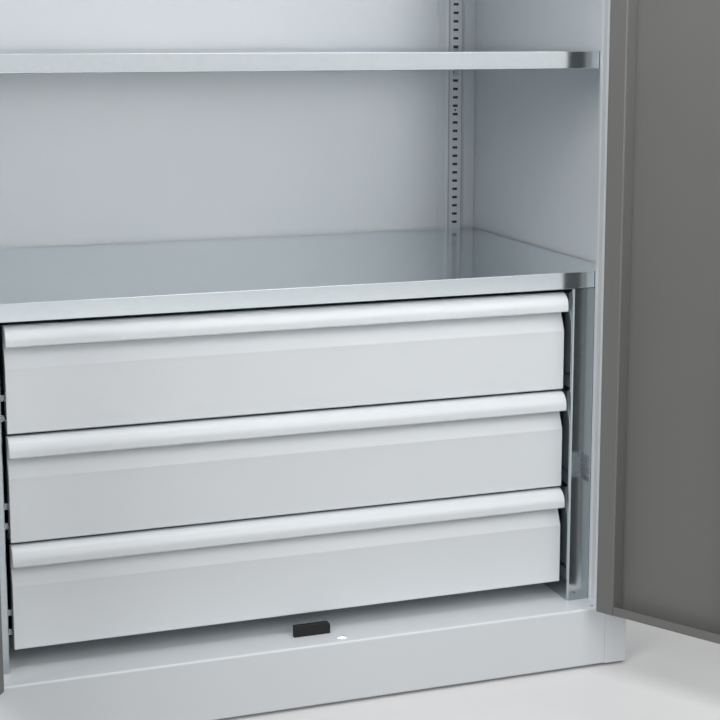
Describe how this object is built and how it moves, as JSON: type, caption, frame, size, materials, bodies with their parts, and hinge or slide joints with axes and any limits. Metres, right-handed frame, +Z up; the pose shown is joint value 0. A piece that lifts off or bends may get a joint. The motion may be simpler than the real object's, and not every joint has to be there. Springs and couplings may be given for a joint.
{
  "type": "heavy-duty drawer cabinet",
  "caption": "Two-door steel cupboard with galvanised shelves hung in slot rails above wide drawers on telescopic slides, closed by a rod lock.",
  "frame": {"origin": "on the floor under the middle of the body, halfway between its front posts and its rear", "axes": "+X to the right seen from the front, +Y to the back, +Z up"},
  "size_m": [1.408, 1.0332, 1.95],
  "materials": {
    "body_paint": "satin powder coat",
    "door_paint": "fine-textured powder coat",
    "galvanised": "satin zinc",
    "bright_steel": "bright zinc",
    "black_plastic": "matt"
  },
  "bodies": {
    "cabinet": {"left_side_panel": "body_paint", "left_rear_slot_rail": "body_paint", "left_front_slot_rail": "body_paint", "left_drawer_frame": "galvanised", "left_hinge_body_leaves": "bright_steel", "left_hinge_pins": "bright_steel", "right_side_panel": "body_paint", "right_rear_slot_rail": "body_paint", "right_front_slot_rail": "body_paint", "right_drawer_frame": "galvanised", "right_hinge_body_leaves": "bright_steel", "right_hinge_pins": "bright_steel", "back_panel": "body_paint", "roof": "body_paint", "base": "body_paint", "foot_plates": "body_paint", "feet": "black_plastic", "stop_block": "black_plastic", "cover_shelf": "galvanised", "shelf_1": "galvanised", "shelf_clips_1": "galvanised", "fixed_rails_1": "galvanised", "shelf_2": "galvanised", "shelf_clips_2": "galvanised", "fixed_rails_2": "galvanised", "shelf_3": "galvanised", "shelf_clips_3": "galvanised", "fixed_rails_3": "galvanised"},
    "left_door": {"left_door": "door_paint", "left_door_stiffener": "door_paint", "left_hinge_door_leaves": "bright_steel", "meeting_strip": "door_paint"},
    "right_door": {"right_door": "door_paint", "right_door_stiffener": "door_paint", "right_hinge_door_leaves": "bright_steel", "lock_case": "galvanised", "rod_guides": "galvanised", "handle_rosette": "black_plastic"},
    "handle": {"door_handle": "black_plastic", "lock_cam": "bright_steel"},
    "upper_rod": {"upper_rod": "galvanised"},
    "lower_rod": {"lower_rod": "galvanised"},
    "drawer_1": {"drawer_tray_1": "galvanised", "drawer_front_1": "body_paint", "drawer_rails_1": "galvanised"},
    "middle_slides_1": {"middle_rails_1": "bright_steel"},
    "drawer_2": {"drawer_tray_2": "galvanised", "drawer_front_2": "body_paint", "drawer_rails_2": "galvanised"},
    "middle_slides_2": {"middle_rails_2": "bright_steel"},
    "drawer_3": {"drawer_tray_3": "galvanised", "drawer_front_3": "body_paint", "drawer_rails_3": "galvanised"},
    "middle_slides_3": {"middle_rails_3": "bright_steel"}
  },
  "joints": [
    {"name": "right_door_swing", "type": "hinge", "parent": "cabinet", "child": "right_door", "pos_m": [0.461, -0.3035, 1], "axis": [0, 0, 1], "range_deg": [-121, 59]},
    {"name": "left_door_swing", "type": "hinge", "parent": "cabinet", "child": "left_door", "pos_m": [-0.461, -0.3035, 1], "axis": [0, 0, -1], "range_deg": [-121, 59]},
    {"name": "handle_turn", "type": "hinge", "parent": "right_door", "child": "handle", "pos_m": [0.67741, -0.67046, 1.01], "axis": [0.8572, 0.515, 0], "range_deg": [-90, 0]},
    {"name": "upper_rod_lift", "type": "slide", "parent": "right_door", "child": "upper_rod", "axis": [0, 0, 1], "range_m": [0, 0.02]},
    {"name": "lower_rod_drop", "type": "slide", "parent": "right_door", "child": "lower_rod", "axis": [0, 0, -1], "range_m": [0, 0.02]},
    {"name": "drawer_1_slide", "type": "slide", "parent": "cabinet", "child": "drawer_1", "axis": [0, -1, 0], "range_m": [0, 0.45]},
    {"name": "middle_slides_1_slide", "type": "slide", "parent": "cabinet", "child": "middle_slides_1", "axis": [0, -1, 0], "range_m": [0, 0.225]},
    {"name": "drawer_2_slide", "type": "slide", "parent": "cabinet", "child": "drawer_2", "axis": [0, -1, 0], "range_m": [0, 0.45]},
    {"name": "middle_slides_2_slide", "type": "slide", "parent": "cabinet", "child": "middle_slides_2", "axis": [0, -1, 0], "range_m": [0, 0.225]},
    {"name": "drawer_3_slide", "type": "slide", "parent": "cabinet", "child": "drawer_3", "axis": [0, -1, 0], "range_m": [0, 0.45]},
    {"name": "middle_slides_3_slide", "type": "slide", "parent": "cabinet", "child": "middle_slides_3", "axis": [0, -1, 0], "range_m": [0, 0.225]}
  ],
  "couplings": [
    {"joint": "upper_rod_lift", "follows": "handle_turn", "m_per_rad": -0.012604},
    {"joint": "lower_rod_drop", "follows": "handle_turn", "m_per_rad": -0.012604},
    {"joint": "middle_slides_1_slide", "follows": "drawer_1_slide", "ratio": 0.5},
    {"joint": "middle_slides_2_slide", "follows": "drawer_2_slide", "ratio": 0.5},
    {"joint": "middle_slides_3_slide", "follows": "drawer_3_slide", "ratio": 0.5}
  ]
}
